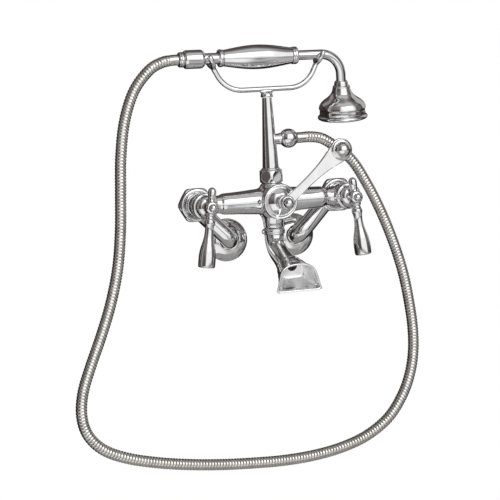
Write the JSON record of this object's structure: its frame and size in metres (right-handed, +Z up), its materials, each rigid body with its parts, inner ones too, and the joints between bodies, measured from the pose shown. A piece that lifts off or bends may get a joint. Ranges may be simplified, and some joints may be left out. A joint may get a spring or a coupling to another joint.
{
  "type": "wall mounted bath faucet",
  "caption": "Wall mounted bath faucet with swing-arm inlets, lever valves, diverter lever, gooseneck spout, riser, cradle and corded hand shower.",
  "frame": {"origin": "on the wall plane, midway between the centres of the two wall flanges", "axes": "+X to the right as the user faces the wall, +Y into the wall, +Z up"},
  "size_m": [0.4313, 0.142, 0.5054],
  "materials": {
    "chrome": "polished chrome plating over cast brass",
    "hose_steel": "bright interlocked metal hose",
    "brass": "turned brass",
    "rubber": "matte black sealing rubber",
    "ceramic": null,
    "spray_plate": "satin perforated spray plate"
  },
  "bodies": {
    "faucet": {"cradle": "chrome", "diverter_bezel": "chrome", "diverter_dome": "chrome", "diverter_sleeve": "brass", "hose": "hose_steel", "hose_outlet_nut": "chrome", "hose_washer": "rubber", "left_bonnet": "chrome", "left_bonnet_ring": "chrome", "left_cartridge": "brass", "left_union_nut": "chrome", "left_union_washer": "rubber", "right_bonnet": "chrome", "right_bonnet_ring": "chrome", "right_cartridge": "brass", "right_union_nut": "chrome", "right_union_washer": "rubber", "riser_post": "chrome", "riser_union_nut": "chrome", "riser_washer": "rubber", "spout": "chrome", "spout_collar": "chrome", "spout_screw": "chrome", "spout_set_screw": "chrome", "valve_body": "chrome"},
    "left_handle": {"left_handle_hub": "chrome", "left_lever_grip": "chrome", "left_handle_button": "chrome", "left_handle_screw": "brass", "left_stem": "brass", "left_ceramic_disc": "ceramic"},
    "left_arm": {"left_swing_arm": "chrome", "left_wall_flange": "chrome", "left_inlet_washer": "rubber"},
    "right_handle": {"right_handle_hub": "chrome", "right_lever_grip": "chrome", "right_handle_button": "chrome", "right_handle_screw": "brass", "right_stem": "brass", "right_ceramic_disc": "ceramic"},
    "right_arm": {"right_swing_arm": "chrome", "right_wall_flange": "chrome", "right_inlet_washer": "rubber"},
    "diverter": {"diverter_lever": "chrome", "diverter_knob": "chrome", "diverter_cap": "chrome", "diverter_screw": "brass", "diverter_stem": "brass"},
    "handset": {"hose_ferrule": "chrome", "hand_shower_nut": "chrome", "hand_shower_neck": "chrome", "grip_rear_collar": "chrome", "hand_shower_grip": "chrome", "grip_front_collar": "chrome", "hand_shower_tube": "chrome", "shower_bell": "chrome", "shower_rim_ring": "chrome", "spray_face": "spray_plate"}
  },
  "joints": [
    {"name": "left_handle_turn", "type": "hinge", "parent": "faucet", "child": "left_handle", "pos_m": [-0.0889, -0.1015, 0.048], "axis": [0, 1, 0], "range_deg": [0, 90]},
    {"name": "right_handle_turn", "type": "hinge", "parent": "faucet", "child": "right_handle", "pos_m": [0.0889, -0.1015, 0.048], "axis": [0, -1, 0], "range_deg": [0, 90]},
    {"name": "diverter_turn", "type": "hinge", "parent": "faucet", "child": "diverter", "pos_m": [0, -0.112, 0.048], "axis": [0, -1, 0], "range_deg": [0, 90]},
    {"name": "left_arm_swing", "type": "hinge", "parent": "faucet", "child": "left_arm", "pos_m": [-0.0889, -0.0215, 0.048], "axis": [0, 1, 0], "range_deg": [0, 80]},
    {"name": "right_arm_swing", "type": "hinge", "parent": "faucet", "child": "right_arm", "pos_m": [0.0889, -0.0215, 0.048], "axis": [0, -1, 0], "range_deg": [0, 80]},
    {"name": "hand_shower_lift", "type": "slide", "parent": "faucet", "child": "handset", "axis": [0, 0, 1], "range_m": [0, 0.045], "deforming": ["hose"]}
  ]
}
